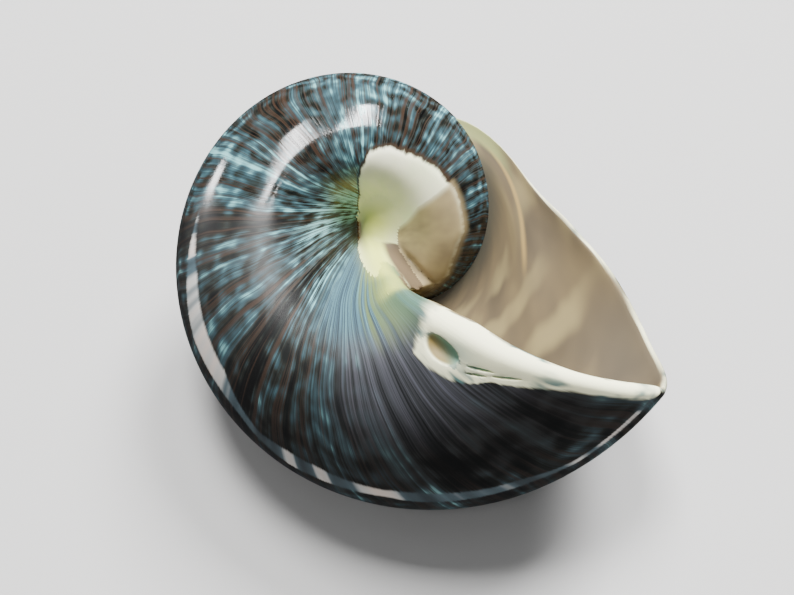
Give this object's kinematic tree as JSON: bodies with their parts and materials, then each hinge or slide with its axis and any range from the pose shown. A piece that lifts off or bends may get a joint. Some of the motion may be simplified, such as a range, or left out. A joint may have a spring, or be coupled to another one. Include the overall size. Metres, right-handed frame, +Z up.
{
  "type": "turban shell",
  "caption": "Polished sea snail shell, low coiled and keeled, with a wide slanting aperture, a pale callus and a flat spire that it lies on.",
  "frame": {"origin": "centre of the bounding box on the surface that the shell lies on", "axes": "+Z up; +X towards the pointed end of the lip; the shell lies on its spire and the aperture looks up"},
  "size_m": [0.0446, 0.0398, 0.0205],
  "materials": {
    "shell": "polished aragonite: blue and green-black rays outside, cream lip and grey-beige nacre inside"
  },
  "bodies": {
    "root": {"shell": "shell"}
  },
  "joints": []
}
